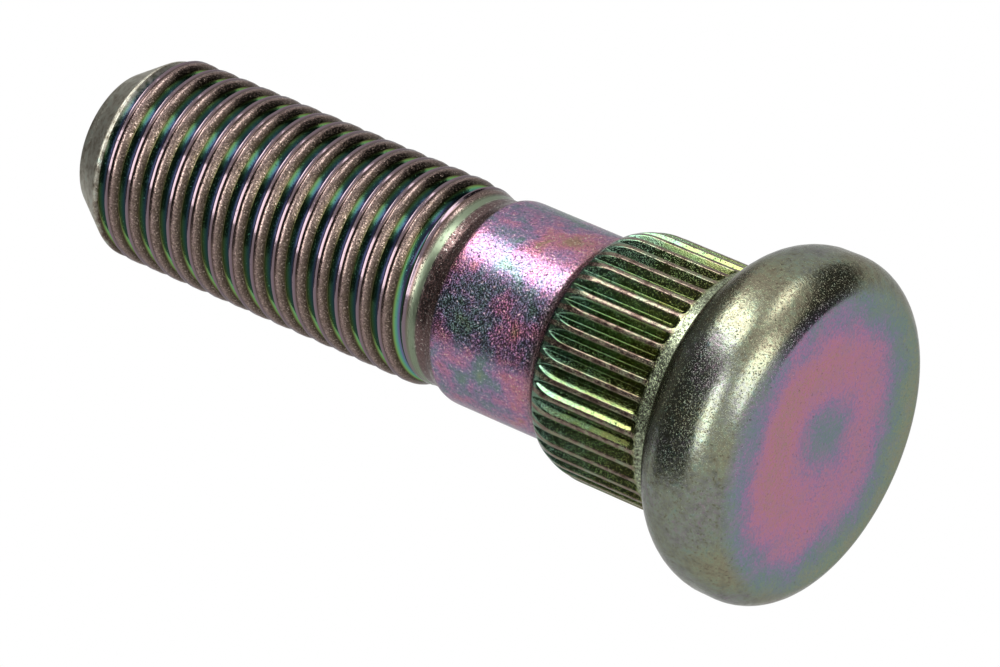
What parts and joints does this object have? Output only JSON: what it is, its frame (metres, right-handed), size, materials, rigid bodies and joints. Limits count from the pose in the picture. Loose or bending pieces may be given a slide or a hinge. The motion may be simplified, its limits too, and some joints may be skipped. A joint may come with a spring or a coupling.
{
  "type": "wheel stud",
  "caption": "Press-in wheel stud: round head with a rolled rim, serrated collar, plain shank, relieved neck and rolled metric thread, in iridescent zinc plate.",
  "frame": {"origin": "centre of the head's flat outer face, which is the lowest face", "axes": "+Z along the stud from the head to the threaded end; X and Y are free, because the stud is round"},
  "size_m": [0.0198, 0.0198, 0.0488],
  "materials": {
    "zinc_plate": "zinc plate with an iridescent yellow passivation, satin"
  },
  "bodies": {
    "root": {"wheel_stud": "zinc_plate"}
  },
  "joints": []
}
